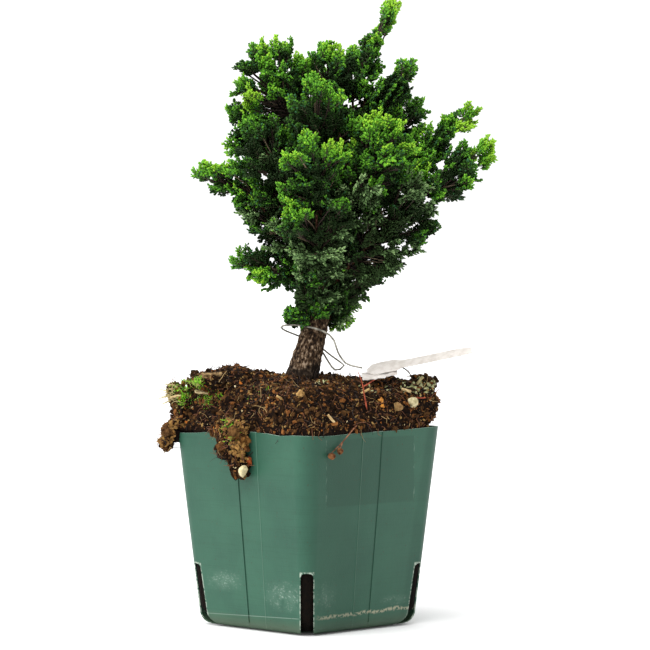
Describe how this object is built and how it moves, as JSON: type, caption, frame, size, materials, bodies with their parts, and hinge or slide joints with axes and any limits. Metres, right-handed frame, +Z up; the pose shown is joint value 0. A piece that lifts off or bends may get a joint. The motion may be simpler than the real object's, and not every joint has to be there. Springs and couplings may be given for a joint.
{
  "type": "potted dwarf conifer",
  "caption": "Young dwarf conifer with a leaning trunk and an open crown of small sprays, its root ball swelling over a square slit pot, with a blank wired label.",
  "frame": {"origin": "middle of the pot's flat underside, on the surface that it stands on", "axes": "+Z up, +X to the viewer's right and +Y away from the viewer in front, with one corner of the square pot pointing to -Y"},
  "size_m": [0.1701, 0.1344, 0.3177],
  "materials": {
    "green_polypropylene": "satin moulded polypropylene",
    "peat_soil": "moist fibrous peat compost",
    "grey_brown_bark": "rough, flaking bark",
    "red_brown_bark": "thin young bark",
    "scale_foliage": "scale leaves in flat sprays",
    "white_plastic": "blank satin plastic",
    "grey_coated_wire": "dull coated wire"
  },
  "bodies": {
    "root": {"bough_back_high": "red_brown_bark", "bough_back_left": "red_brown_bark", "bough_back_low": "red_brown_bark", "bough_back_middle": "red_brown_bark", "bough_back_right": "red_brown_bark", "bough_bottom_right": "red_brown_bark", "bough_front_high": "red_brown_bark", "bough_front_low": "red_brown_bark", "bough_front_middle": "red_brown_bark", "bough_front_right": "red_brown_bark", "bough_left_arm": "red_brown_bark", "bough_left_centre": "red_brown_bark", "bough_left_high": "red_brown_bark", "bough_left_low": "red_brown_bark", "bough_low_front": "red_brown_bark", "bough_lower_left_arm": "red_brown_bark", "bough_lower_right": "red_brown_bark", "bough_right_arm": "red_brown_bark", "bough_right_high_arm": "red_brown_bark", "bough_right_inner": "red_brown_bark", "bough_top_centre": "red_brown_bark", "bough_top_left": "red_brown_bark", "bough_top_right": "red_brown_bark", "bough_upper_right": "red_brown_bark", "foliage_back_high": "scale_foliage", "foliage_back_left": "scale_foliage", "foliage_back_low": "scale_foliage", "foliage_back_middle": "scale_foliage", "foliage_back_right": "scale_foliage", "foliage_bottom": "scale_foliage", "foliage_bottom_left": "scale_foliage", "foliage_bottom_right": "scale_foliage", "foliage_front_high": "scale_foliage", "foliage_front_low": "scale_foliage", "foliage_front_middle": "scale_foliage", "foliage_front_right": "scale_foliage", "foliage_leader": "scale_foliage", "foliage_left_arm": "scale_foliage", "foliage_left_centre": "scale_foliage", "foliage_left_high": "scale_foliage", "foliage_left_low": "scale_foliage", "foliage_low_front": "scale_foliage", "foliage_lower_left_arm": "scale_foliage", "foliage_lower_right": "scale_foliage", "foliage_right_arm": "scale_foliage", "foliage_right_high_arm": "scale_foliage", "foliage_right_inner": "scale_foliage", "foliage_top_centre": "scale_foliage", "foliage_top_left": "scale_foliage", "foliage_top_right": "scale_foliage", "foliage_upper_right": "scale_foliage", "label": "white_plastic", "label_wire": "grey_coated_wire", "pot": "green_polypropylene", "soil": "peat_soil", "trunk": "grey_brown_bark"}
  },
  "joints": []
}
